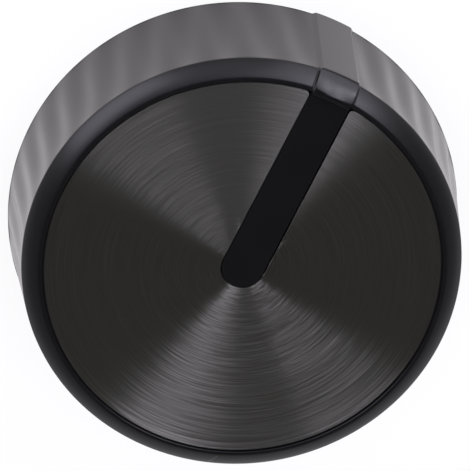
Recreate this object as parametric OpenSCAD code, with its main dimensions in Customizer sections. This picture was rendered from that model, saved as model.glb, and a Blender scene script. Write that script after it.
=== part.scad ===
// Control knob: a fluted moulded skirt with a sloping rim, a slotted spun metal face
// and a moulded pointer, held on a round shaft by a brass bush and a set screw.
// The back rim lies in the plane z = 0, the shaft axis is z, and the pointer looks along +y.

/* [Skirt] */
// Outside diameter of the back rim
base_d = 36; // [34:0.1:44]
// Diameter of the shoulder where the wall meets the rim
shoulder_d = 34.7; // [30:0.1:35.5]
// Height of the shoulder above the back rim
shoulder_h = 10.5; // [9.5:0.1:16]
// Bevel round the back rim
base_bevel = 0.2; // [0.1:0.05:0.5]
// Thickness of the skirt wall
wall_t = 1.8; // [1.2:0.1:2.4]

/* [Flutes] */
// Places for flutes round the wall, one of them taken by the pointer tab
flute_count = 36; // [24:1:38]
// Depth of a flute at the middle of its length
flute_depth = 0.25; // [0.1:0.05:0.4]
// Width of a flute at the middle of its length
flute_w = 2.6; // [1.6:0.1:2.8]
// Length of a flute along the wall
flute_l = 9.6; // [6:0.1:10]
// Width of the flat along the bottom of a flute
flute_flat = 0.4; // [0.2:0.05:0.8]

/* [Rim] */
// Width of the rim from the shoulder to the pocket
rim_w = 1.56; // [1.2:0.02:2.4]
// Slope of the rim at the shoulder, in degrees from the face
rim_slope = 50; // [40:1:55]
// Radius of the rim's rounded top, seen in section
rim_r = 5; // [3.5:0.1:8]
// Radius of the rim's inner lip
lip_r = 0.3; // [0.1:0.01:0.4]

/* [Face disc] */
// Thickness of the face disc
disc_t = 1.0; // [0.6:0.1:1.4]
// Depth of the disc's face below the crest of the rim
disc_sink = 0.02; // [0.02:0.01:0.3]
// Gap between the disc and the wall of its pocket
disc_clear = 0.16; // [0.05:0.01:0.4]
// Bevel round the disc's face
disc_bevel = 0.12; // [0.05:0.01:0.3]
// Radius of the disc's corners at the mouth of the slot
slot_corner_r = 0.3; // [0.2:0.1:0.9]

/* [Pointer] */
// Width of the pointer bar and of its tab over the rim
pointer_w = 3.35; // [2:0.05:4]
// Gap between the pointer bar and each side of the disc's slot
pointer_clear = 0.08; // [0.03:0.01:0.3]
// Depth of the bar's top below the disc's face
pointer_sink = 0.1; // [0.05:0.05:0.4]
// Height of the tab above the rim and the wall
tab_proud = 0.2; // [0.1:0.05:0.4]
// Radius of the tab's rounded end above the bar
tab_end_r = 0.6; // [0.4:0.05:0.8]

/* [Hub] */
// Thickness of the web behind the face disc
web_t = 1.6; // [1:0.1:2.4]
// Thickness of the hub wall round the bush
hub_t = 2; // [1.5:0.1:3]
// Depth of the hub's end inside the back rim
hub_inset = 0.5; // [0.2:0.1:1.5]
// Thickness of the ribs between the hub and the wall
rib_t = 1.2; // [0.8:0.1:2]
// Depth of the ribs' edges inside the back rim
rib_inset = 2; // [1:0.1:4]

/* [Shaft bush] */
// Diameter of the shaft that the knob fits
shaft_d = 6; // [5:0.05:6.4]
// Gap all round between the shaft and the bore
shaft_clear = 0.05; // [0.01:0.01:0.1]
// Outside diameter of the bush
bush_d = 10; // [9:0.1:12]
// Depth of the bush's end inside the back rim
bush_inset = 1; // [0.5:0.1:2]
// Lead-in bevel at the mouth of the bore
bore_bevel = 0.4; // [0.2:0.1:0.8]

/* [Set screw] */
// Diameter of the set screw's thread
screw_d = 4; // [3:0.5:4]
// Length of the set screw
screw_l = 5; // [4:0.5:6]
// Height of the set screw's axis above the back rim
screw_z = 5; // [4.4:0.1:5.5]
// Gap between the set screw's point and the bore
screw_backoff = 0.15; // [0.1:0.05:0.5]
// Gap all round the set screw's thread
thread_clear = 0.05; // [0.02:0.01:0.1]
// Gap all round the set screw in the hole through the wall
key_hole_clear = 0.25; // [0.15:0.05:0.4]
// Width of the set screw's hexagon socket across its flats
key_w = 2; // [1.5:0.5:2]
// Depth of the hexagon socket
key_depth = 2.2; // [1.5:0.1:2.5]
// Bevel at the set screw's point
point_bevel = 0.6; // [0.3:0.1:0.8]
// Thickness of the screw boss on each side of the hole
boss_t = 1.25; // [1:0.05:1.6]

/* [Hidden] */
$fn = 96;
// Overlap that joins two shapes or carries a cut past a face
bite = 0.4;
// Step to which the centres of arcs that touch each other are rounded
arc_step = 0.0001;

base_r = base_d / 2;
shoulder_r = shoulder_d / 2;
draft = atan((base_r - shoulder_r) / shoulder_h);

// The rim's section is an arc about rim_x, rim_z, and its lip an arc about lip_x, lip_z
rim_x = upward(shoulder_r - rim_r * sin(rim_slope));
rim_z = upward(shoulder_h - rim_r * cos(rim_slope));
pocket_r = shoulder_r - rim_w;
lip_x = pocket_r + lip_r;
lip_z = upward(rim_z + inner_rise(rim_r - lip_r, lip_x));
crest_z = lip_z + lip_r;
disc_r = pocket_r - disc_clear;
disc_top = crest_z - disc_sink;
pocket_floor = disc_top - disc_t;
ceiling_z = pocket_floor - web_t;

bar_top = disc_top - pointer_sink;
slot_w = pointer_w + 2 * pointer_clear;
// The tab's end is an arc about tab_end_x, tab_end_z
tab_end_x = pocket_r;
tab_end_z = upward(rim_z + inner_rise(rim_r + tab_proud - tab_end_r, tab_end_x));

// A flute is the shallow cut of a large round-edged wheel pressed into the wall
flute_mid_z = shoulder_h / 2;
flute_mid_r = wall_radius(flute_mid_z);
flute_edge_r = 1 / (8 * flute_depth / pow(flute_w - flute_flat, 2) - 1 / flute_mid_r);
flute_wheel_r = pow(flute_l, 2) / (8 * flute_depth);
flute_pitch = 360 / flute_count;

bore_r = shaft_d / 2 + shaft_clear;
bush_r = bush_d / 2;
hub_r = bush_r + hub_t;
key_hole_r = screw_d / 2 + key_hole_clear;
boss_w = 2 * (key_hole_r + boss_t);
screw_tip_r = bore_r + screw_backoff;

// Rounds up to a small step, so that an arc reaches just past the one it touches
function upward(v) = ceil(v / arc_step) * arc_step;

// Outside radius of the drafted wall at height z
function wall_radius(z) = base_r - z * tan(draft);

// Height above the rim's centre of a point at radius x that lies r away from that centre
function inner_rise(r, x) = sqrt(pow(r, 2) - pow(x - rim_x, 2));

// Half section of the skirt and rim, grown outwards by proud
module skirt_section(proud = 0) {
    top = rim_z + rim_r + proud;
    intersection() {
        polygon([
            [0, 0],
            [wall_radius(base_bevel) + proud - base_bevel, 0],
            [wall_radius(base_bevel) + proud, base_bevel],
            [wall_radius(top) + proud, top],
            [0, top]
        ]);
        union() {
            translate([rim_x, rim_z]) circle(rim_r + proud);
            square([rim_x, top]);
            square([base_d, rim_z]);
        }
    }
}

// What rounds a corner off: all that lies outside an arc of radius r about x, z, from the
// level of its centre to the line on which it touches the rim's arc of radius outer
module arc_trim(x, z, r, outer) {
    start = x - r - bite;
    reach = (outer + bite) / (outer - r);
    end = [rim_x + (x - rim_x) * reach, rim_z + (z - rim_z) * reach];
    difference() {
        polygon([
            [start, z],
            [x, z],
            end,
            [end.x, z + outer],
            [start, z + outer]
        ]);
        translate([x, z]) circle(r);
    }
}

// Half section of the pocket for the face disc, with the rounded lip above it
module pocket_section() {
    translate([0, pocket_floor]) square([pocket_r, crest_z]);
    arc_trim(lip_x, lip_z, lip_r, rim_r);
}

// Half section of the hollow back
module cavity_section() {
    polygon([
        [0, -bite],
        [wall_radius(-bite) - wall_t, -bite],
        [wall_radius(ceiling_z) - wall_t, ceiling_z],
        [0, ceiling_z]
    ]);
}

// Half section of the pointer: the flat bar, and the tab over rim and wall
module pointer_section() {
    translate([0, pocket_floor - bite]) square([tab_end_x, bar_top - pocket_floor + bite]);
    difference() {
        skirt_section(tab_proud);
        square([tab_end_x - tab_end_r, 2 * crest_z]);
        arc_trim(tab_end_x, tab_end_z, tab_end_r, rim_r + tab_proud);
    }
}

// Outline of a bar of width w along +y that starts in a half round on the axis
module bar_outline(w) {
    circle(w / 2);
    translate([-w / 2, 0]) square([w, base_d]);
}

// What rounds one corner of the disc at the mouth of the slot
module slot_corner() {
    x = slot_w / 2 + slot_corner_r;
    y = upward(sqrt(pow(disc_r - slot_corner_r, 2) - pow(x, 2)));
    reach = (disc_r + bite) / (disc_r - slot_corner_r);
    difference() {
        polygon([
            [slot_w / 2 - bite, y],
            [x, y],
            [x * reach, y * reach],
            [slot_w / 2 - bite, y * reach]
        ]);
        translate([x, y]) circle(slot_corner_r);
    }
}

// Half of a flute's rounded edge on one side of its flat, side is 1 or -1
module flute_flank(side) {
    translate([flute_wheel_r - flute_edge_r, side * flute_flat / 2])
        intersection() {
            circle(flute_edge_r);
            translate([0, side < 0 ? -flute_edge_r : 0]) square(flute_edge_r);
        }
}

// One flute's cutter: a short arc of the wheel's edge, a little longer, wider and thicker
// than the cut
module flute_cutter() {
    arc = atan((flute_l / 2 + 3 * bite) / flute_wheel_r);
    lean = flute_wheel_r - flute_depth;
    cut_w = flute_w + bite / 2;
    cut_t = flute_depth + 2 * bite;
    translate([flute_mid_r + lean * cos(draft), 0, flute_mid_z + lean * sin(draft)])
        rotate([90, 0, 180])
            rotate([0, 0, -draft - arc])
                rotate_extrude(angle = 2 * arc)
                    intersection() {
                        union() {
                            flute_flank(-1);
                            flute_flank(1);
                            translate([0, -flute_flat / 2]) square([flute_wheel_r, flute_flat]);
                        }
                        translate([flute_wheel_r - cut_t, -cut_w / 2]) square([cut_t + bite, cut_w]);
                    }
}

// Hub, ribs and screw boss that stand in the hollow back
module back_stiffeners() {
    translate([0, 0, hub_inset]) cylinder(h = ceiling_z, r = hub_r);
    for (a = [0, 90, 180])
        rotate([0, 0, a]) translate([0, -rib_t / 2, rib_inset]) cube([base_r, rib_t, ceiling_z]);
    translate([-boss_w / 2, -base_r, screw_z - boss_w / 2]) cube([boss_w, base_r, ceiling_z]);
}

// A round bar along -y at the set screw's height
module screw_bar(r, from, to) {
    translate([0, -from, screw_z]) rotate([90, 0, 0]) cylinder(h = to - from, r = r);
}

module knob_body() {
    color("#2a2b2e")
        difference() {
            union() {
                difference() {
                    rotate_extrude()
                        difference() {
                            skirt_section();
                            pocket_section();
                        }
                    for (i = [1:flute_count - 1])
                        rotate([0, 0, 90 + i * flute_pitch]) flute_cutter();
                }
                intersection() {
                    rotate_extrude() pointer_section();
                    linear_extrude(2 * crest_z) bar_outline(pointer_w);
                }
            }
            difference() {
                rotate_extrude() cavity_section();
                back_stiffeners();
            }
            translate([0, 0, -bite]) cylinder(h = ceiling_z + bite, r = bush_r);
            screw_bar(key_hole_r, 0, base_d);
        }
}

module face_disc() {
    color("#3b3c3b")
        difference() {
            rotate_extrude()
                polygon([
                    [0, pocket_floor],
                    [disc_r, pocket_floor],
                    [disc_r, disc_top - disc_bevel],
                    [disc_r - disc_bevel, disc_top],
                    [0, disc_top]
                ]);
            translate([0, 0, pocket_floor - bite])
                linear_extrude(disc_t + 2 * bite) {
                    bar_outline(slot_w);
                    slot_corner();
                    mirror([1, 0]) slot_corner();
                }
        }
}

module shaft_bush() {
    color("#c8a24a")
        difference() {
            rotate_extrude()
                polygon([
                    [bore_r + bore_bevel, bush_inset],
                    [bush_r, bush_inset],
                    [bush_r, ceiling_z],
                    [bore_r, ceiling_z],
                    [bore_r, bush_inset + bore_bevel]
                ]);
            screw_bar(screw_d / 2 + thread_clear, 0, bush_d);
        }
}

module set_screw() {
    color("#4a4a4c")
        translate([0, -screw_tip_r, screw_z])
            rotate([90, 0, 0])
                difference() {
                    rotate_extrude()
                        polygon([
                            [0, 0],
                            [screw_d / 2 - point_bevel, 0],
                            [screw_d / 2, point_bevel],
                            [screw_d / 2, screw_l],
                            [0, screw_l]
                        ]);
                    translate([0, 0, screw_l - key_depth])
                        cylinder(h = key_depth + bite, d = key_w / cos(30), $fn = 6);
                }
}

knob_body();
face_disc();
shaft_bush();
set_screw();
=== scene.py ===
# %% [markdown]
# # A control knob in satin black plastic with a spun metal face
# The knob is a single moulding with a fluted skirt, a sloping rim and a pointer bar. A slotted
# disc of dark anodised aluminium is bonded in its face. A brass bush and a set screw in the back
# hold it on a shaft. The solids come in as a fixed frame, in metres: this lesson models the two
# pieces that show as fine surfaces, gives all four their finish, and lights them as in a studio.

# %% Load the frame and read its main sizes
import math

import bmesh
import bpy
import numpy as np
from mathutils import Matrix, Vector


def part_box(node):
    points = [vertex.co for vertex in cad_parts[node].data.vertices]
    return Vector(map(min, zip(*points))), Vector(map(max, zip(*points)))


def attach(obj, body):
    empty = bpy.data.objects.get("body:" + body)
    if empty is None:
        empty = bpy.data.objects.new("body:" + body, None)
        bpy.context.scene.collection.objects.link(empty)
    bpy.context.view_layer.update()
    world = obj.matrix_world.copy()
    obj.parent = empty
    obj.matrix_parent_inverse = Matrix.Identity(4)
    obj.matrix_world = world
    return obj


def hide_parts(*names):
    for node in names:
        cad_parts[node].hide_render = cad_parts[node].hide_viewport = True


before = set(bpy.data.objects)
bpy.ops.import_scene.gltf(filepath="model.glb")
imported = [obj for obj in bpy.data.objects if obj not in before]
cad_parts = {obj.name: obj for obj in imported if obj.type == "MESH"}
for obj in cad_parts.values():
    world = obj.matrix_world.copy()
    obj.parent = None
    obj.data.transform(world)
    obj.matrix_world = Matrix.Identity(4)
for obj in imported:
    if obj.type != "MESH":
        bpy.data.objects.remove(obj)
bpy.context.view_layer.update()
MM = 0.001

disc_low, disc_high = (np.array(corner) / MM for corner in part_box("face_disc"))
bush_high = np.array(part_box("shaft_bush")[1]) / MM
disc_r = (disc_high[0] - disc_low[0]) / 2
disc_top, pocket_floor = disc_high[2], disc_low[2]
bush_r, ceiling_z = bush_high[0], bush_high[2]
print(f"disc radius {disc_r:.2f} mm, disc face at {disc_top:.2f} mm")

# %% [markdown]
# ## Small helpers
# A surface here is a grid of points: one parameter runs along the rows, the other along the
# columns. Numpy works out all points at once, and one call hands them to Blender. Poles and seams
# come out as points in the same place, so they are merged, and the normals are then made to look
# outwards. Edges sharper than a limit are marked sharp, and everything else shades smoothly.

# %% Grids and arcs
SHARP_EDGE = math.radians(28)
MERGE_GAP = 1e-7
TINY = 1e-9


def grid_quads(rows, cols, closed_rows=False, closed_cols=False):
    """Four corners of each cell of a grid, counted row by row. A closed side joins its last line
    to its first."""
    index = np.arange(rows * cols).reshape(rows, cols)
    if closed_rows:
        index = np.vstack([index, index[:1]])
    if closed_cols:
        index = np.hstack([index, index[:, :1]])
    corners = (index[:-1, :-1], index[:-1, 1:], index[1:, 1:], index[1:, :-1])
    return np.stack(corners, -1).reshape(-1, 4)


def arc(x, z, r, start, end, count):
    """Points of a circle about x, z with radius r, from one angle to another in degrees."""
    angle = np.radians(np.linspace(start, end, count))
    return np.stack([x + r * np.cos(angle), z + r * np.sin(angle)], -1)


def line(start, end, count):
    """Points evenly spaced on a straight line, both ends included."""
    return np.linspace(start, end, count)


def smooth_step(x):
    """0 below 0, 1 above 1, and 3x^2 - 2x^3 between."""
    x = np.clip(x, 0, 1)
    return x * x * (3 - 2 * x)


# %% Meshes from grids


def mesh_object(name, points_mm, quads):
    """A closed mesh at its place in the frame, from points in millimetres."""
    mesh = bpy.data.meshes.new(name)
    mesh.from_pydata(points_mm.reshape(-1, 3) * MM, [], quads)
    tidy = bmesh.new()
    tidy.from_mesh(mesh)
    bmesh.ops.remove_doubles(tidy, verts=tidy.verts, dist=MERGE_GAP)
    bmesh.ops.dissolve_degenerate(tidy, edges=tidy.edges, dist=MERGE_GAP)
    bmesh.ops.recalc_face_normals(tidy, faces=tidy.faces)
    tidy.to_mesh(mesh)
    tidy.free()
    piece = bpy.data.objects.new(name, mesh)
    bpy.context.scene.collection.objects.link(piece)
    return piece


def shade(piece):
    """Smooth shading, broken at sharp edges."""
    piece.data.shade_smooth()
    piece.data.set_sharp_from_angle(angle=SHARP_EDGE)


def measure(piece):
    """Volume in cubic millimetres, triangles, and open edges of a mesh."""
    solid = bmesh.new()
    solid.from_mesh(piece.data)
    volume = solid.calc_volume(signed=True) / MM ** 3
    open_edges = sum(1 for edge in solid.edges if not edge.is_manifold)
    triangles = sum(len(face.verts) - 2 for face in solid.faces)
    solid.free()
    return f"{piece.name}: {volume:.1f} mm3, {triangles} triangles, {open_edges} open edges"


# %% [markdown]
# ## The moulding: one section, carried round the axis
# On the real knob the skirt, rim, pocket, pointer bar and tab are one shot of plastic. A plain
# revolve can't have the pointer, and cutting it with booleans would leave crisp edges. So each
# column of the grid is a half section at its own angle. Away from the pointer it follows the rim,
# goes down into the pocket, along its floor, up the side of the pointer bar and over its top to
# the axis. Under the tab it follows the tab instead, a fifth of a millimetre higher, and rolls
# down to the bar over one rounded end. The columns beside the tab mix the two sections: softly on
# the wall, and quickly on the rim, where a fine crease runs along each side of a crowned tab.

# %% Sizes of the moulding, in millimetres
base_r, shoulder_r, shoulder_h = 18.0, 17.35, 10.5
shoulder_edge_r = 0.22
base_edge_r = 0.15
wall_t = 1.8
rim_w, rim_slope, rim_r, crest_r, lip_r = 1.56, 50, 5.0, 0.5, 0.1
pointer_w, pointer_sink = 3.35, 0.1
tab_proud, tab_end_x, tab_end_r, tab_crown = 0.2, 15.83, 0.35, 0.11
wall_edge_w, rim_edge_w = 0.4, 0.12
groove_depth, groove_out, groove_w = 0.05, 0.1, 0.06
bar_edge_r = 0.06
seat_gap, seat_step = 0.03, 0.12

pocket_r = shoulder_r - rim_w
draft = math.atan((base_r - shoulder_r) / shoulder_h)
rim_x = shoulder_r - rim_r * math.sin(math.radians(rim_slope))
rim_z = shoulder_h - rim_r * math.cos(math.radians(rim_slope))
bar_top = disc_top - pointer_sink
half_bar = pointer_w / 2
seat_r = disc_r + seat_gap
print(f"pocket radius {pocket_r:.2f} mm, draft {math.degrees(draft):.2f} degrees")

# %% [markdown]
# ## Arcs that touch
# A moulded edge is never sharp, and the eye reads its size from the thin highlight along it. Two
# arcs do that here: one rounds the shoulder between wall and rim, and one turns the rim over into
# the lip. Each is placed so that it touches its neighbours, so no highlight breaks.

# %% Arcs of the crest and the shoulder


def crest_arc(proud):
    """Centre, radius and start angle in degrees of the arc that turns the rim's slope over into
    the lip, or over the tab's end: it touches the rim's arc from inside."""
    x, r = (tab_end_x, tab_end_r) if proud else (pocket_r + lip_r, crest_r)
    z = rim_z + math.sqrt((rim_r + proud - r) ** 2 - (x - rim_x) ** 2)
    return x, z, r, math.degrees(math.atan2(z - rim_z, x - rim_x))


def shoulder_arc(proud, count):
    """The rounded shoulder: an arc of shoulder_edge_r that touches the wall and the rim's arc.
    Its centre lies shoulder_edge_r inside the wall's line and inside the rim's arc."""
    r = shoulder_edge_r
    # Walk up the line that lies r inside the wall to where it meets the rim's arc less r
    foot = np.array([base_r + proud - r / math.cos(draft), 0.0])
    along = np.array([-math.sin(draft), math.cos(draft)])
    to_foot = foot - np.array([rim_x, rim_z])
    b = to_foot @ along
    c = to_foot @ to_foot - (rim_r + proud - r) ** 2
    centre = foot + along * (-b + math.sqrt(b * b - c))
    end = math.degrees(math.atan2(centre[1] - rim_z, centre[0] - rim_x))
    return arc(*centre, r, math.degrees(draft), end, count), end


crest_x, crest_z, *_ = crest_arc(0)
print(f"crest at radius {crest_x:.2f} mm, {crest_z + crest_r:.2f} mm high")

# %% [markdown]
# ## Columns of the grid
# Thirty-six places for flutes go round the skirt, and the tab takes the first. Sixteen columns to
# a place carry the flutes. The tab's two sides need columns of their own, close together and
# parallel to the pointer, so near the tab a column keeps its distance from the pointer's middle
# line on its way over the wall and the rim.

# %% Angles of the columns
flute_count, columns_per_flute = 36, 16
tab_zone_share = 0.75
tab_zone = 360 / flute_count * tab_zone_share
edge_in, edge_out = 0.24, 0.28
TAB_EDGE_COLUMNS, TAB_INSIDE_COLUMNS, TAB_OUTSIDE_COLUMNS = 27, 7, 5

tab_edge = half_bar + np.linspace(-edge_in, edge_out, TAB_EDGE_COLUMNS)
zone_end = base_r * math.sin(math.radians(tab_zone))
tab_inside = np.linspace(0, tab_edge[0], TAB_INSIDE_COLUMNS + 2)[1:-1]
tab_outside = np.linspace(tab_edge[-1], zone_end, TAB_OUTSIDE_COLUMNS + 2)[1:-1]
offsets = np.concatenate([tab_inside, tab_edge, tab_outside])
tab_angles = np.degrees(np.arcsin(offsets / base_r))
plain_angles = np.arange(tab_zone, 360 - tab_zone, 360 / (flute_count * columns_per_flute))
column = np.concatenate([[0], tab_angles, plain_angles, 360 - tab_angles[::-1]])
signed = np.where(column > 180, column - 360, column)
print(f"{len(column)} columns, {2 * len(tab_angles) + 1} of them on and beside the tab")


def column_angle(r):
    """Angle of each column from the pointer at radius r: a column near the tab runs parallel to
    the pointer, and one further away is radial."""
    offset = base_r * np.sin(np.radians(signed))
    near = 1 - smooth_step((np.abs(signed) - tab_zone) / tab_zone)
    parallel = np.degrees(np.arcsin(np.clip(offset / np.maximum(r, TINY), -1, 1)))
    return np.where(near > 0, near * parallel + (1 - near) * signed, signed)


# %% [markdown]
# ## The half sections
# All sections have the same number of points, so that any two can be mixed. The pocket has a small
# step under the disc's edge, so the dark gap round the disc stays shallow. On the bar's side a
# column that leaves the pointer's middle line by a small angle meets the bar far from the axis:
# the bar's edge lies at half the bar's width divided by the sine of that angle. On the far side
# of the axis the bar ends in a half round, and the edge lies at half its width.

# %% Outer section
inner_angle = np.radians(column_angle(pocket_r))
bar_reach = 1 / np.maximum(np.abs(np.sin(inner_angle)), TINY)
bar_reach[np.abs(inner_angle) >= math.pi / 2] = 1.0

WALL_ROWS, EDGE_ROWS, RIM_ROWS, CREST_ROWS, LIP_ROWS = 34, 7, 14, 12, 6
SIDE_ROWS, FLOOR_ROWS, TOP_ROWS, END_ROWS = 4, 4, 6, 14


def outer_section(proud):
    """Wall, rounded shoulder, rim and crest from the back edge to the lip, as radius and height."""
    edge, edge_end = shoulder_arc(proud, EDGE_ROWS)
    wall_start = np.array([base_r + proud - base_edge_r * math.tan(draft), base_edge_r])
    wall = line(wall_start, edge[0], WALL_ROWS + 1)[:-1]
    *crest_circle, crest_start = crest_arc(proud)
    rim = arc(rim_x, rim_z, rim_r + proud, edge_end, crest_start, RIM_ROWS + 1)[1:]
    crest = arc(*crest_circle, crest_start, 90, CREST_ROWS + 1)[1:]
    return np.concatenate([wall, edge, rim, crest])


print(f"outer section: {len(outer_section(0))} points")

# %% Inside the rim and inside the tab


def rim_inside():
    """Lip, pocket wall with a small step under the disc's edge, floor, bar side and bar top, for
    every column: radius and height."""
    lip_z = crest_z + crest_r - lip_r
    lip = arc(crest_x, lip_z, lip_r, 90, 180, LIP_ROWS + 1)[1:]
    seat = line([seat_r, disc_top - seat_step], [seat_r, pocket_floor], SIDE_ROWS - 1)
    fixed = np.concatenate([lip, [[pocket_r, disc_top - seat_step]], seat])
    fixed = np.repeat(fixed[:, None], len(column), 1)
    bar_edge = np.minimum(half_bar * bar_reach, seat_r)
    share = np.linspace(0, 1, FLOOR_ROWS + 1)[1:, None]
    floor_r = seat_r + (bar_edge - seat_r) * share
    floor = np.stack([floor_r, np.full_like(floor_r, pocket_floor)], -1)
    turn = np.radians(np.linspace(0, 90, SIDE_ROWS))[:, None]
    round_r = np.minimum((half_bar - bar_edge_r * (1 - np.cos(turn))) * bar_reach, seat_r)
    rounding = np.stack([round_r, bar_top - bar_edge_r * (1 - np.sin(turn)) + 0 * round_r], -1)
    share = np.linspace(1, 0, TOP_ROWS + 1)[1:, None]
    top = np.stack([round_r[-1] * share, np.full((TOP_ROWS, len(column)), bar_top)], -1)
    return np.concatenate([fixed, floor, rounding, top])


def tab_inside_section():
    """The tab's end turns on down to the bar, then the bar's top leads to the axis."""
    *end_circle, _ = crest_arc(tab_proud)
    end = arc(*end_circle, 90, 180, END_ROWS + 1)[1:]
    top_rows = LIP_ROWS + SIDE_ROWS + FLOOR_ROWS + SIDE_ROWS + TOP_ROWS - END_ROWS
    return np.concatenate([end, line([end[-1][0], bar_top], [0, bar_top], top_rows)])


print(f"inside: {len(rim_inside())} points at the rim, {len(tab_inside_section())} at the tab")

# %% [markdown]
# ## Flutes
# The skirt's flutes are shallow hollows that fade out towards the back edge and the shoulder, so
# both ends of the wall look plain and round. A cosine round the skirt times a rounded fade along
# the wall gives that soft pillowed form, with no edge anywhere for the light to catch.

# %% Flutes
flute_depth = 0.22
flute_fade = 0.9


def flute(angle, z):
    """Depth of the hollow: half of 1 plus the cosine of the flute angle, times a fade in height."""
    wave = (1 + np.cos(np.radians(angle) * flute_count)) / 2
    place = np.abs(angle) > 180 / flute_count
    along = np.clip(1 - (2 * z / shoulder_h - 1) ** 2, 0, 1) ** flute_fade
    return flute_depth * wave * place * along


second_flute = 2 * 360 / flute_count
print(f"flute depth halfway up the wall: {flute(second_flute, shoulder_h / 2):.2f} mm")

# %% [markdown]
# ## From sections to one grid
# How far a column lies beside the tab's edge decides its share of the tab's section. That share
# falls over a wide band on the wall, where the photographed edge is soft, and over a narrow one on
# the rim. The crown lowers the tab towards its sides, and the crease is a fine bell-shaped groove.

# %% Mix the rim's and the tab's sections
crown_rise = 1.5

beside = np.abs(base_r * np.sin(np.radians(signed))) - half_bar
beside[np.abs(signed) >= 90] = base_r
groove = np.exp(-((beside - groove_out) / groove_w) ** 2)
crown = np.clip(1 + beside / half_bar, 0, 1) ** 2

plain = np.concatenate([np.repeat(outer_section(0)[:, None], len(column), 1), rim_inside()])
raised = np.concatenate([outer_section(tab_proud), tab_inside_section()])[:, None]
past_edge = len(plain) - WALL_ROWS - EDGE_ROWS
over_rim = np.concatenate([np.zeros(WALL_ROWS), line(0, 1, EDGE_ROWS), np.ones(past_edge)])
edge_w = wall_edge_w + (rim_edge_w - wall_edge_w) * over_rim
on_tab = 1 - smooth_step(beside / edge_w[:, None] + 0.5)
front = plain + (raised - plain) * on_tab[..., None]
crest_end = WALL_ROWS + EDGE_ROWS + RIM_ROWS + CREST_ROWS
crowned = np.zeros(len(plain))
crown_share = smooth_step(line(0, crown_rise, RIM_ROWS + CREST_ROWS))
crowned[WALL_ROWS + EDGE_ROWS:crest_end] = crown_share
crowned[crest_end:crest_end + END_ROWS] = line(1, 0, END_ROWS)
front[..., 1] -= tab_crown * crowned[:, None] * crown * on_tab
print(f"tab {front[..., 1].max():.2f} mm high, rim {plain[..., 1].max():.2f} mm")

# %% Close the back and turn the sections round the axis
BACK_EDGE_ROWS, FOOT_ROWS, INNER_ROWS, CEILING_ROWS = 5, 4, 7, 6

inner_r = base_r - wall_t
ceiling_r = inner_r - ceiling_z * math.tan(draft)
back_rows = np.concatenate([
    arc(base_r - base_edge_r, base_edge_r, base_edge_r, 0, -90, BACK_EDGE_ROWS),
    line([base_r - base_edge_r, 0], [inner_r, 0], FOOT_ROWS)[1:],
    line([inner_r, 0], [ceiling_r, ceiling_z], INNER_ROWS)[1:],
    line([ceiling_r, ceiling_z], [0, ceiling_z], CEILING_ROWS)[1:],
])
back = np.repeat(back_rows[:, None], len(column), 1)
section = np.concatenate([back[::-1], front])

radius, height = section[..., 0], section[..., 1]
turned = np.stack([column_angle(max(r, pocket_r)) for r in radius.mean(1)])
wall_rows = slice(len(back_rows), len(back_rows) + WALL_ROWS + EDGE_ROWS)
off_tab = 1 - on_tab[:WALL_ROWS + EDGE_ROWS]
radius[wall_rows] -= flute(turned[wall_rows], height[wall_rows]) * off_tab
rim_rows = slice(wall_rows.stop, len(back_rows) + crest_end)
height[rim_rows] -= groove_depth * groove
spin = np.radians(90 + turned)
points = np.stack([radius * np.cos(spin), radius * np.sin(spin), height], -1)
print(f"grid of {points.shape[0]} rows and {points.shape[1]} columns")

# %% [markdown]
# ## The hollow back
# Behind the face the moulding is hollow, as such knobs are: a hub round the brass bush, three ribs
# and a boss for the set screw. Each of them is a small closed solid of its own that reaches a
# little into the wall. Joining and cutting them is what booleans are good at, and the result is
# one moulding with no hidden faces inside.

# %% Sizes of the back
hub_t, hub_inset = 2.0, 0.5
rib_t, rib_inset = 1.2, 2.0
screw_z, key_hole_r, boss_t = 5.0, 2.25, 1.25
back_edge_r = 0.25
bite = 0.5
ROUND_COUNT = 96

hub_r = bush_r + hub_t
roof = ceiling_z + bite
rib_end = inner_r + bite
boss_half = key_hole_r + boss_t
boss_end = math.sqrt(rib_end ** 2 - boss_half ** 2)
print(f"hub radius {hub_r:.2f} mm, ribs reach {rib_end:.2f} mm, boss {boss_end:.2f} mm")

# %% Small closed solids


def revolved(name, section, count=ROUND_COUNT):
    """A section of radius and height, carried round the axis."""
    spin = np.linspace(0, 2 * math.pi, count, endpoint=False)
    r, z = section[:, 0, None], section[:, 1, None]
    points = np.stack([r * np.cos(spin), r * np.sin(spin), z + 0 * spin], -1)
    return mesh_object(name, points, grid_quads(len(section), count, closed_cols=True))


def beam(name, half_w, low, high, start, end, direction):
    """A bar with rounded lower edges, carried along a radius from start to end. Each end closes
    in a fan to the middle of the section."""
    r = back_edge_r
    outline = np.concatenate([
        arc(-half_w + r, low + r, r, 180, 270, BACK_EDGE_ROWS),
        arc(half_w - r, low + r, r, 270, 360, BACK_EDGE_ROWS),
        [[half_w, high], [-half_w, high]],
    ])
    middle = np.broadcast_to(outline.mean(0), outline.shape)
    rings = np.stack([middle, outline, outline, middle])
    reach = np.array([start, start, end, end])[:, None]
    turn = math.radians(direction)
    x = reach * math.cos(turn) - rings[..., 0] * math.sin(turn)
    y = reach * math.sin(turn) + rings[..., 0] * math.cos(turn)
    points = np.stack([x, y, rings[..., 1]], -1)
    return mesh_object(name, points, grid_quads(4, len(outline), closed_cols=True))


def cylinder_along_y(name, r, z, start, end):
    """A round bar along -y, closed at both ends in a fan."""
    spin = np.linspace(0, 2 * math.pi, ROUND_COUNT, endpoint=False)
    rings = np.array([0, r, r, 0])[:, None]
    y = -np.array([start, start, end, end])[:, None] + 0 * spin
    points = np.stack([rings * np.cos(spin), y, z + rings * np.sin(spin)], -1)
    return mesh_object(name, points, grid_quads(4, ROUND_COUNT, closed_cols=True))


# %% Joining and cutting


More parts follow.
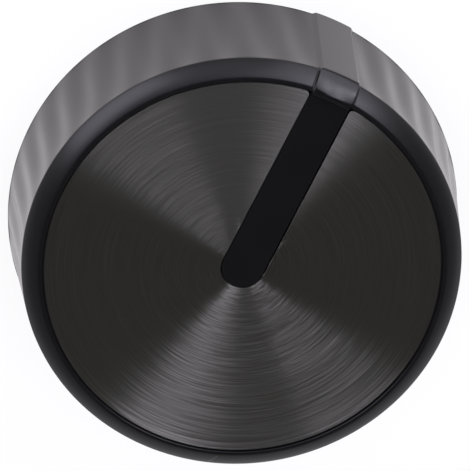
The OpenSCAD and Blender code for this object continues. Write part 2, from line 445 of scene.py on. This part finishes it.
def boolean(piece, tool, operation):
    """Joins or cuts a piece with a tool, and removes the tool."""
    modifier = piece.modifiers.new(operation, "BOOLEAN")
    modifier.operation, modifier.object, modifier.solver = operation, tool, "MANIFOLD"
    bpy.context.view_layer.update()
    evaluated = piece.evaluated_get(bpy.context.evaluated_depsgraph_get())
    result = bpy.data.meshes.new_from_object(evaluated)
    piece.modifiers.clear()
    old, piece.data = piece.data, result
    bpy.data.meshes.remove(old)
    bpy.data.objects.remove(tool)


# %% Join hub, ribs and boss, and cut the holes
moulding = mesh_object("knob_moulding", points, grid_quads(*points.shape[:2], closed_cols=True))
print("before the back:", measure(moulding))

hub_section = np.concatenate([
    [[0, roof], [hub_r, roof]],
    arc(hub_r - back_edge_r, hub_inset + back_edge_r, back_edge_r, 0, -90, BACK_EDGE_ROWS),
    [[0, hub_inset]],
])
boolean(moulding, revolved("hub", hub_section), "UNION")
for direction in (0, 90, 180):
    boolean(moulding, beam("rib", rib_t / 2, rib_inset, roof, bush_r, rib_end, direction), "UNION")
boss = beam("boss", boss_half, screw_z - boss_half, roof, bush_r, boss_end, -90)
boolean(moulding, boss, "UNION")
bush_hole = np.array([[0, -bite], [bush_r, -bite], [bush_r, ceiling_z], [0, ceiling_z]])
boolean(moulding, revolved("bush_hole", bush_hole), "DIFFERENCE")
key_hole = cylinder_along_y("key_hole", key_hole_r, screw_z, 0, base_r + bite)
boolean(moulding, key_hole, "DIFFERENCE")
moulding.data.name = "knob_moulding"
shade(moulding)
print("finished:", measure(moulding))

# %% [markdown]
# ## The spun face
# The disc was stamped from sheet, spun against an abrasive so that fine lines run round its
# middle, and then dyed dark grey. Its slot ends in a half round on the axis, and the corners at
# the mouth are rounded. Its outline has an inner line (the slot) and an outer line (the rim and
# the corners), so the surface is ruled between them: one parameter goes round the outline and the
# other goes over the plate from the inner line to the outer one and back underneath. Opposite the
# pointer the edge is bent up a little, as if it had been lifted with a blade, and shines there.

# %% Outline of the disc
slot_clear, slot_corner_r = 0.08, 0.3
CIRCLE_COLUMNS, CORNER_COLUMNS = 280, 14

slot_half = half_bar + slot_clear
corner_x = slot_half + slot_corner_r
corner_y = math.sqrt((disc_r - slot_corner_r) ** 2 - corner_x ** 2)
mouth = math.degrees(math.atan2(corner_y, corner_x))
circle = arc(0, 0, disc_r, 180 - mouth, 360 + mouth, CIRCLE_COLUMNS)
right_corner = arc(corner_x, corner_y, slot_corner_r, mouth, 180, CORNER_COLUMNS)[1:]
left_corner = (right_corner * [-1, 1])[::-1]
outer_line = np.concatenate([left_corner, circle, right_corner])

angle = np.arctan2(outer_line[:, 0], outer_line[:, 1])
reach = slot_half / np.maximum(np.abs(np.sin(angle)), TINY)
reach[outer_line[:, 1] <= 0] = slot_half
inner_line = reach[:, None] * np.stack([np.sin(angle), np.cos(angle)], -1)
past = inner_line[:, 1] > corner_y
inner_line[past, 0] = np.sign(inner_line[past, 0]) * slot_half
inner_line[past, 1] = corner_y
print(f"{len(outer_line)} columns, slot {2 * slot_half:.2f} mm wide")

# %% Plate ruled between the two lines
disc_bevel = 0.04
bent_up, bent_w, bent_side, bent_reach = 0.12, 0.6, math.radians(275), math.radians(95)
bend_softness = 0.1
FACE_ROWS, BEND_ROWS, BEVEL_ROWS = 6, 8, 4


def bent(share):
    """Rise of the bent edge from 0 to 1: a hyperbola, first a soft bend and then a slope."""
    whole = math.hypot(1, bend_softness) - bend_softness
    return (np.hypot(share, bend_softness) - bend_softness) / whole


turn = np.radians(np.linspace(0, 90, BEVEL_ROWS))
bevel = np.concatenate([[disc_top - pocket_floor], disc_bevel * (1 - np.sin(turn))])
drop = np.concatenate([bevel, np.zeros(FACE_ROWS + BEND_ROWS), bevel[::-1]])
width = np.linalg.norm(outer_line - inner_line, axis=1)[:, None]
inset = np.concatenate([[0], disc_bevel * (1 - np.cos(turn))])
# The bevel shrinks where the plate is narrower than four bevels
inset = inset[None] * np.minimum(1, width / (4 * disc_bevel))
bend = np.minimum(bent_w, width / 2)
start = inset[:, -1:]
flat = start + (width - bend - start) * np.linspace(0, 1, FACE_ROWS + 2)[None, 1:-1]
slope = width - bend + (bend - start) * np.linspace(0, 1, BEND_ROWS + 1)[None, :-1]
across = np.concatenate([inset, flat, slope, (width - inset)[:, ::-1]], 1)
bent_way = [math.cos(bent_side), math.sin(bent_side)]
away = np.arccos(np.clip(outer_line @ bent_way / disc_r, -1, 1))
lift = bent_up * (1 + np.cos(math.pi * np.minimum(away / bent_reach, 1))) / 2
rise = lift[:, None] * bent(np.clip(1 - (width - across) / np.maximum(bend, TINY), 0, 1))
rise[:, -1] = 0
rise += disc_top - drop
across /= np.maximum(width, TINY)
plane = inner_line[:, None] + (outer_line - inner_line)[:, None] * across[..., None]
disc_points = np.concatenate([plane, rise[..., None]], -1)
disc_quads = grid_quads(*disc_points.shape[:2], closed_cols=True)
spun_face = mesh_object("spun_face", disc_points, disc_quads)
shade(spun_face)
print(measure(spun_face))

# %% [markdown]
# ## Finishes
# Each finish starts from the real material. Colours are written as sRGB hex values, as a painter
# would pick them, and one function turns them to the linear values that Blender works in. One
# more function adds a node with its settings and links, which keeps each material readable.

# %% Colours and nodes


def linear(hex_colour):
    """Linear RGBA of an sRGB colour such as '#1a1b1c'."""
    srgb = np.array([int(hex_colour[i:i + 2], 16) for i in (1, 3, 5)]) / 255
    rgb = np.where(srgb <= 0.04045, srgb / 12.92, ((srgb + 0.055) / 1.055) ** 2.4)
    return (*rgb.tolist(), 1.0)


def add_node(tree, kind, settings=None, **inputs):
    """A node with its properties set, and each input set to a value or linked to a socket.
    Spaces in an input's name are written as underscores."""
    node = tree.nodes.new(kind)
    for key, value in (settings or {}).items():
        setattr(node, key, value)
    for key, value in inputs.items():
        name = key.replace("_", " ").strip()
        socket = node.inputs[int(name)] if name.isdigit() else node.inputs[name]
        if isinstance(value, bpy.types.NodeSocket):
            tree.links.new(value, socket)
        else:
            socket.default_value = value
    return node


mid_grey = linear("#808080")[0]
print(f"half of full white in sRGB is {mid_grey:.3f} in linear light")

# %% Materials and the pieces that carry them


def new_material(name):
    """An empty node material: its tree, and its Principled shader's node."""
    material = bpy.data.materials.new(name)
    material.use_nodes = True
    return material, material.node_tree, material.node_tree.nodes["Principled BSDF"]


def finish_piece(piece, material, node=None):
    """Puts a material on a piece, and a new piece in place of the node that it stands for."""
    piece.data.materials.clear()
    piece.data.materials.append(material)
    if node:
        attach(piece, "root")
        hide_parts(node)
    print(f"{piece.name}: {material.name}, {len(material.node_tree.nodes)} nodes")


# %% [markdown]
# ## Black ABS, moulded in a fine spark-eroded tool
# The plastic itself is almost black. What the eye sees is reflection: the wall mirrors the pale
# table at a flat angle and looks grey, while the rim mirrors the dark room. The tool's fine
# texture spreads those reflections, so the roughness matters more than the colour. It is a little
# higher above the shoulder, and lower in patches on the tab, where fingers have rubbed it. One
# fine pale scratch crosses the rim. The texture's grain is about 0.04 mm, finer than a pixel here,
# so it is drawn at 0.12 mm to show.

# %% Moulded plastic: grain and colour
plastic_grain, cloud_size = 0.12, 4.0
abs_plastic, tree, shader = new_material("black_abs_spark_eroded_moulding")
place = add_node(tree, "ShaderNodeTexCoord").outputs["Object"]
grain = add_node(tree, "ShaderNodeTexNoise", Vector=place,
                 Scale=1 / (plastic_grain * MM), Detail=2.0)
cloud = add_node(tree, "ShaderNodeTexNoise", Vector=place,
                 Scale=1 / (cloud_size * MM), Detail=2.0)
tint = add_node(tree, "ShaderNodeValToRGB", Fac=cloud.outputs["Fac"])
tint.color_ramp.elements[0].color = linear("#09090b")
tint.color_ramp.elements[1].color = linear("#0e0e10")
print(f"grain {plastic_grain} mm, tint in patches of about {cloud_size} mm")

# %% Moulded plastic: zones of gloss
rim_gloss_step, rub_size = 0.08, 1.2
gloss = add_node(tree, "ShaderNodeMapRange", Value=grain.outputs["Fac"], To_Min=0.18, To_Max=0.25)
spot = add_node(tree, "ShaderNodeSeparateXYZ", _0=place).outputs
on_bar = add_node(tree, "ShaderNodeMath", {"operation": "COMPARE"},
                  _0=spot["X"], _1=0.0, _2=half_bar * MM)
far_out = add_node(tree, "ShaderNodeMath", {"operation": "GREATER_THAN"},
                   _0=spot["Y"], _1=pocket_r * MM)
on_top = add_node(tree, "ShaderNodeMath", {"operation": "GREATER_THAN"},
                  _0=spot["Z"], _1=shoulder_h * MM)
gloss = add_node(tree, "ShaderNodeMath", {"operation": "MULTIPLY_ADD"},
                 _0=on_top.outputs["Value"], _1=rim_gloss_step, _2=gloss.outputs["Result"])
touched = add_node(tree, "ShaderNodeMath", {"operation": "MULTIPLY"},
                   _0=on_bar.outputs["Value"], _1=far_out.outputs["Value"])
touched = add_node(tree, "ShaderNodeMath", {"operation": "MULTIPLY"},
                   _0=touched.outputs["Value"], _1=on_top.outputs["Value"])
rubbed = add_node(tree, "ShaderNodeTexNoise", Vector=place, Scale=1 / (rub_size * MM), Detail=3.0)
polish = add_node(tree, "ShaderNodeMapRange", Value=rubbed.outputs["Fac"],
                  From_Min=0.35, From_Max=0.65, To_Min=-0.14, To_Max=-0.02)
gloss = add_node(tree, "ShaderNodeMath", {"operation": "MULTIPLY_ADD"}, _0=touched.outputs["Value"],
                 _1=polish.outputs["Result"], _2=gloss.outputs["Value"])
relief = add_node(tree, "ShaderNodeBump", Height=grain.outputs["Fac"],
                  Strength=0.02, Distance=0.01 * MM)
print(f"rougher by {rim_gloss_step} above {shoulder_h} mm, rubbed patches {rub_size} mm")

# %% Moulded plastic: scratch and shader
scratch_at, scratch_turn = (5.18 * MM, -15.93 * MM), math.radians(78)
scratch_w, scratch_l = 0.05, 1.1
shader.inputs["IOR"].default_value = 1.53
scratch = add_node(tree, "ShaderNodeMapping", {"vector_type": "TEXTURE"}, Vector=place,
                   Location=(*scratch_at, 0), Rotation=(0, 0, scratch_turn))
scratch = add_node(tree, "ShaderNodeSeparateXYZ", _0=scratch.outputs["Vector"]).outputs
in_width = add_node(tree, "ShaderNodeMath", {"operation": "COMPARE"},
                    _0=scratch["Y"], _1=0.0, _2=scratch_w / 2 * MM)
in_length = add_node(tree, "ShaderNodeMath", {"operation": "COMPARE"},
                     _0=scratch["X"], _1=0.0, _2=scratch_l / 2 * MM)
scratch = add_node(tree, "ShaderNodeMath", {"operation": "MULTIPLY"},
                   _0=in_width.outputs["Value"], _1=in_length.outputs["Value"])
scratch = add_node(tree, "ShaderNodeMath", {"operation": "MULTIPLY"},
                   _0=scratch.outputs["Value"], _1=on_top.outputs["Value"])
tint = add_node(tree, "ShaderNodeMix", {"data_type": "RGBA"}, _0=scratch.outputs["Value"],
                _6=tint.outputs["Color"], _7=linear("#6a6a6c"))
tree.links.new(tint.outputs["Result"], shader.inputs["Base Color"])
tree.links.new(gloss.outputs[0], shader.inputs["Roughness"])
tree.links.new(relief.outputs["Normal"], shader.inputs["Normal"])
finish_piece(moulding, abs_plastic, "knob_body")

# %% [markdown]
# ## Aluminium, spun and dyed dark grey
# Fine lines round the middle scatter light across them and hardly along them, so each lamp shows
# as a pair of bright fans that meet at the axis. The shader's anisotropy does this when its tangent
# runs across the lines, which on a disc round the origin is simply the point's own position. The
# lines are about 0.02 mm apart; here they are drawn at 0.1 mm, in broken arcs: the noise is read
# at the radius and at a point that goes once round a circle, so it has no seam. Each line tilts
# the surface some degrees towards the axis or away from it, so the lines show in the fans and
# almost vanish between them.

# %% Spun aluminium: track of the lines
line_pitch, arc_share, line_tilt = 0.1, 2.0, 1.35
aluminium, tree, shader = new_material("spun_grey_anodised_aluminium")
place = add_node(tree, "ShaderNodeTexCoord").outputs["Object"]
flat = add_node(tree, "ShaderNodeVectorMath", {"operation": "MULTIPLY"}, _0=place, _1=(1, 1, 0))
reach = add_node(tree, "ShaderNodeVectorMath", {"operation": "LENGTH"}, _0=flat.outputs["Vector"])
round_point = add_node(tree, "ShaderNodeVectorMath", {"operation": "NORMALIZE"},
                       _0=flat.outputs["Vector"])
lines = add_node(tree, "ShaderNodeMath", {"operation": "MULTIPLY"},
                 _0=reach.outputs["Value"], _1=1 / (line_pitch * MM))
wide = add_node(tree, "ShaderNodeVectorMath", {"operation": "SCALE"},
                _0=round_point.outputs["Vector"], Scale=arc_share)
split = add_node(tree, "ShaderNodeSeparateXYZ", _0=wide.outputs["Vector"])
track = add_node(tree, "ShaderNodeCombineXYZ",
                 X=split.outputs["X"], Y=split.outputs["Y"], Z=lines.outputs["Value"])
strokes = add_node(tree, "ShaderNodeTexNoise", Vector=track.outputs["Vector"],
                   Scale=1.0, Detail=2.0, Roughness=0.6)
print(f"lines {line_pitch} mm apart, {disc_r / line_pitch:.0f} of them from the axis to the edge")

# %% Spun aluminium: tint, gloss and tilt of the lines
tint = add_node(tree, "ShaderNodeValToRGB", Fac=strokes.outputs["Fac"])
tint.color_ramp.elements[0].position = 0.3
tint.color_ramp.elements[0].color = linear("#95938e")
tint.color_ramp.elements[1].position = 0.7
tint.color_ramp.elements[1].color = linear("#a6a49f")
gloss = add_node(tree, "ShaderNodeMapRange", Value=strokes.outputs["Fac"],
                 From_Min=0.3, From_Max=0.7, To_Min=0.4, To_Max=0.46)
tilt = add_node(tree, "ShaderNodeMath", {"operation": "MULTIPLY_ADD"},
                _0=strokes.outputs["Fac"], _1=-line_tilt, _2=line_tilt / 2)
tilt = add_node(tree, "ShaderNodeVectorMath", {"operation": "SCALE"},
                _0=round_point.outputs["Vector"], Scale=tilt.outputs["Value"])
facing = add_node(tree, "ShaderNodeNewGeometry").outputs["Normal"]
facing = add_node(tree, "ShaderNodeVectorMath", {"operation": "ADD"},
                  _0=facing, _1=tilt.outputs["Vector"])
facing = add_node(tree, "ShaderNodeVectorMath", {"operation": "NORMALIZE"},
                  _0=facing.outputs["Vector"])
shader.inputs["Metallic"].default_value = 1.0
shader.inputs["Anisotropic"].default_value = 1.0
tree.links.new(facing.outputs["Vector"], shader.inputs["Normal"])
tree.links.new(flat.outputs["Vector"], shader.inputs["Tangent"])
tree.links.new(tint.outputs["Color"], shader.inputs["Base Color"])
tree.links.new(gloss.outputs["Result"], shader.inputs["Roughness"])
finish_piece(spun_face, aluminium, "face_disc")

# %% [markdown]
# ## Turned brass and blackened steel
# The bush and the screw keep the solids' own shape. Brass from the lathe shows fine rings along
# its axis, and black oxide leaves steel dark with a dull sheen.

# %% Bush
turning_pitch, turning_run = 0.12, 10.0
brass, tree, shader = new_material("turned_brass")
place = add_node(tree, "ShaderNodeTexCoord").outputs["Object"]
stretch = add_node(tree, "ShaderNodeMapping", Vector=place,
                   Scale=(1 / (turning_run * MM), 1 / (turning_run * MM), 1 / (turning_pitch * MM)))
rings = add_node(tree, "ShaderNodeTexNoise", Vector=stretch.outputs["Vector"],
                 Scale=1.0, Detail=2.0)
tint = add_node(tree, "ShaderNodeValToRGB", Fac=rings.outputs["Fac"])
tint.color_ramp.elements[0].color = linear("#b08a3e")
tint.color_ramp.elements[1].color = linear("#d9b866")
relief = add_node(tree, "ShaderNodeBump", Height=rings.outputs["Fac"],
                  Strength=0.3, Distance=0.02 * MM)
shader.inputs["Metallic"].default_value = 1.0
shader.inputs["Roughness"].default_value = 0.28
tree.links.new(tint.outputs["Color"], shader.inputs["Base Color"])
tree.links.new(relief.outputs["Normal"], shader.inputs["Normal"])
finish_piece(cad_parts["shaft_bush"], brass)

# %% Screw
bloom_size = 0.6
steel, tree, shader = new_material("blackened_steel")
place = add_node(tree, "ShaderNodeTexCoord").outputs["Object"]
bloom = add_node(tree, "ShaderNodeTexNoise", Vector=place, Scale=1 / (bloom_size * MM), Detail=3.0)
tint = add_node(tree, "ShaderNodeValToRGB", Fac=bloom.outputs["Fac"])
tint.color_ramp.elements[0].color = linear("#2a2a2c")
tint.color_ramp.elements[1].color = linear("#424246")
shader.inputs["Metallic"].default_value = 1.0
shader.inputs["Roughness"].default_value = 0.42
tree.links.new(tint.outputs["Color"], shader.inputs["Base Color"])
finish_piece(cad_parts["set_screw"], steel)

# %% [markdown]
# ## Camera
# The photograph was taken from far away with a long lens, so its perspective is weak. The knob
# lies on its back, and the camera leans 23 degrees away from the shaft axis.

# %% Camera
image_px, sensor = 470, 36.0
view_tilt = math.radians(23.17)
view_side = math.radians(125.37)
picture_turn = math.radians(25.34)
view_far = 30
view_distance = view_far * shoulder_r
focal_px = 220.876 * view_far
shoulder_pixel = (241.9, 263.3)

lean_axis = Vector((0, 0, 1)).cross(Vector((math.cos(view_side), math.sin(view_side), 0)))
lean = Matrix.Rotation(view_tilt, 3, lean_axis)
right = lean @ Vector((math.cos(picture_turn), math.sin(picture_turn), 0))
up = lean @ Vector((-math.sin(picture_turn), math.cos(picture_turn), 0))
back_way = lean @ Vector((0, 0, 1))
across_mm = (shoulder_pixel[0] - image_px / 2) / focal_px * view_distance
down_mm = (shoulder_pixel[1] - image_px / 2) / focal_px * view_distance
place = Vector((0, 0, shoulder_h)) + back_way * view_distance - right * across_mm + up * down_mm

camera = bpy.data.objects.new("camera", bpy.data.cameras.new("camera"))
camera.data.sensor_width = sensor
camera.data.lens = focal_px / image_px * sensor
camera.data.clip_end = 5
facing = Matrix((right, up, back_way)).transposed().to_4x4()
camera.matrix_world = Matrix.Translation(place * MM) @ facing
bpy.context.scene.collection.objects.link(camera)
bpy.context.scene.camera = camera
print(f"camera {view_distance:.0f} mm away, lens {camera.data.lens:.0f} mm")

# %% [markdown]
# ## Table
# A pale table fills the picture. Its own glow is what camera and reflections mostly see, so it
# stays white, and a share of plain paint keeps the knob's shadow on it. In reflections the glow is
# painted: a faint painted mauve tint, painted shade that makes it dimmer on the side away from the
# lamps, and a painted contact shadow in a fine line under the knob's edge. That is a reading of
# the wall's grey in the photograph, not of a known room.

# %% Table
table_r = 2.4
table_gap = 0.02
table_glow = 0.87
spin = np.linspace(0, 2 * math.pi, ROUND_COUNT, endpoint=False)
table_mesh = bpy.data.meshes.new("table")
table_level = np.full(ROUND_COUNT, -table_gap * MM)
table_points = np.stack([table_r * np.cos(spin), table_r * np.sin(spin), table_level], -1)
table_mesh.from_pydata(table_points, [], [tuple(range(ROUND_COUNT))])
table = bpy.data.objects.new("table", table_mesh)
bpy.context.scene.collection.objects.link(table)
print(f"table {2 * table_r:.1f} m across, {table_gap} mm below the knob")

# %% Table: what the camera and the reflections see
lamp_side = 125.4
# Painted shade and a painted contact shadow in the table's reflected glow: dimmer away from the
# lamps, and darker in a fine ring just outside the knob's edge
dim_reach, dim_level = 45, 0.38
contact_shadow_w, contact_shadow_level = 0.1, 0.2
white_table, tree, shader = new_material("white_table")
rays = add_node(tree, "ShaderNodeLightPath").outputs
seen = add_node(tree, "ShaderNodeMath", {"operation": "ADD"},
                _0=rays["Is Camera Ray"], _1=rays["Is Glossy Ray"])
seen = add_node(tree, "ShaderNodeMath", {"operation": "ADD", "use_clamp": True},
                _0=seen.outputs["Value"], _1=rays["Is Transmission Ray"])
share = add_node(tree, "ShaderNodeMath", {"operation": "MULTIPLY"},
                 _0=seen.outputs["Value"], _1=table_glow)
paint = add_node(tree, "ShaderNodeBsdfDiffuse", Color=linear("#f6f6f6"))
place = add_node(tree, "ShaderNodeTexCoord").outputs["Object"]
to_lamps = (math.cos(math.radians(lamp_side)), math.sin(math.radians(lamp_side)), 0)
along = add_node(tree, "ShaderNodeVectorMath", {"operation": "DOT_PRODUCT"}, _0=place, _1=to_lamps)
# Painted shade: the glow that reflections see dims on the side away from the lamps
painted_lamp_falloff = add_node(tree, "ShaderNodeMapRange", Value=along.outputs["Value"],
                   From_Min=-dim_reach * MM, From_Max=0.0, To_Min=dim_level, To_Max=1.0)
out = add_node(tree, "ShaderNodeVectorMath", {"operation": "LENGTH"}, _0=place).outputs["Value"]
# Painted contact shadow: the glow that reflections see darkens in a fine ring at the knob's edge
painted_contact_shadow = add_node(tree, "ShaderNodeMapRange", Value=out, From_Min=base_r * MM,
                   From_Max=(base_r + contact_shadow_w) * MM, To_Min=contact_shadow_level, To_Max=1.0)
level = add_node(tree, "ShaderNodeMath", {"operation": "MULTIPLY"},
                 _0=painted_lamp_falloff.outputs["Result"], _1=painted_contact_shadow.outputs["Result"])
level = add_node(tree, "ShaderNodeMath", {"operation": "MAXIMUM"},
                 _0=level.outputs["Value"], _1=rays["Is Camera Ray"])
# Painted reflection tint: reflections see the table faintly mauve, while the camera sees it white
painted_reflection_tint = add_node(tree, "ShaderNodeMix", {"data_type": "RGBA"}, _0=rays["Is Camera Ray"],
                 _6=linear("#fffafd"), _7=linear("#ffffff"))
glow = add_node(tree, "ShaderNodeEmission",
                Color=painted_reflection_tint.outputs["Result"], Strength=level.outputs["Value"])
surface = add_node(tree, "ShaderNodeMixShader", _0=share.outputs["Value"],
                   _1=paint.outputs["BSDF"], _2=glow.outputs["Emission"])
under = add_node(tree, "ShaderNodeBsdfTransparent")
side = add_node(tree, "ShaderNodeNewGeometry").outputs["Backfacing"]
surface = add_node(tree, "ShaderNodeMixShader", _0=side,
                   _1=surface.outputs["Shader"], _2=under.outputs["BSDF"])
tree.links.new(surface.outputs["Shader"], tree.nodes["Material Output"].inputs["Surface"])
table_mesh.materials.append(white_table)
print(f"{white_table.name}: {len(tree.nodes)} nodes")

# %% [markdown]
# ## Lamps and room
# Two soft boxes stand on either side of the camera's lean, and each gives one pair of fans on the
# spun face. The right one has a brighter core, and a faint box fills the gap between the two. A
# broad lamp overhead, which reflections don't see, brings the light up to a plain level. The room
# is dim, darker overhead than at the horizon, because that is what the rim and the face show.

# %% Lamps
# An area lamp's watts are its radiance times four times its area
WATTS_PER_RADIANCE = 4


def soft_box(name, side, rise, distance, wide, tall, radiance, mirrored=True):
    """A lamp of a given radiance that looks at the knob from a side and a height, in degrees."""
    lamp = bpy.data.lights.new(name, "AREA")
    lamp.shape, lamp.size, lamp.size_y = "RECTANGLE", wide, tall
    lamp.color = linear("#f2f0ff")[:3]
    lamp.energy = radiance * WATTS_PER_RADIANCE * wide * tall
    a, e = math.radians(side), math.radians(rise)
    way = Vector((math.cos(e) * math.cos(a), math.cos(e) * math.sin(a), math.sin(e)))
    holder = bpy.data.objects.new(name, lamp)
    holder.location = way * distance
    holder.rotation_euler = way.to_track_quat("Z", "Y").to_euler()
    holder.visible_glossy = mirrored
    bpy.context.scene.collection.objects.link(holder)
    print(f"{name}: {lamp.energy:.2f} W")


soft_box("soft_box_left", 163.8, 23.5, 0.6, 0.43, 0.29, 2.25)
soft_box("soft_box_right", 78.5, 30.5, 0.6, 0.42, 0.45, 1.42)
soft_box("soft_box_right_core", 72, 37, 0.59, 0.2, 0.2, 2.0)
soft_box("soft_box_between", lamp_side, 33, 0.6, 0.36, 0.36, 0.5)
soft_box("overhead", 0, 90, 1.2, 1.2, 1.2, 3.1, mirrored=False)

# %% Room
horizon_level, overhead_level, overhead_z = 0.24, 0.045, 0.9
world = bpy.data.worlds.new("dim_room")
bpy.context.scene.world = world
world.use_nodes = True
tree = world.node_tree
way = add_node(tree, "ShaderNodeTexCoord").outputs["Generated"]
level = add_node(tree, "ShaderNodeSeparateXYZ", _0=way).outputs["Z"]
dim = add_node(tree, "ShaderNodeMapRange", Value=level, From_Min=0.0, From_Max=overhead_z,
               To_Min=horizon_level, To_Max=overhead_level)
tree.nodes["Background"].inputs["Color"].default_value = linear("#ffffff")
tree.links.new(dim.outputs["Result"], tree.nodes["Background"].inputs["Strength"])
print(f"room: {horizon_level} at the horizon, {overhead_level} overhead")

# %% [markdown]
# ## Finish
# The view transform stays plain, so that a colour in the picture is the colour that the light
# gives.

# %% Finish
bpy.context.scene.view_settings.view_transform = "Standard"
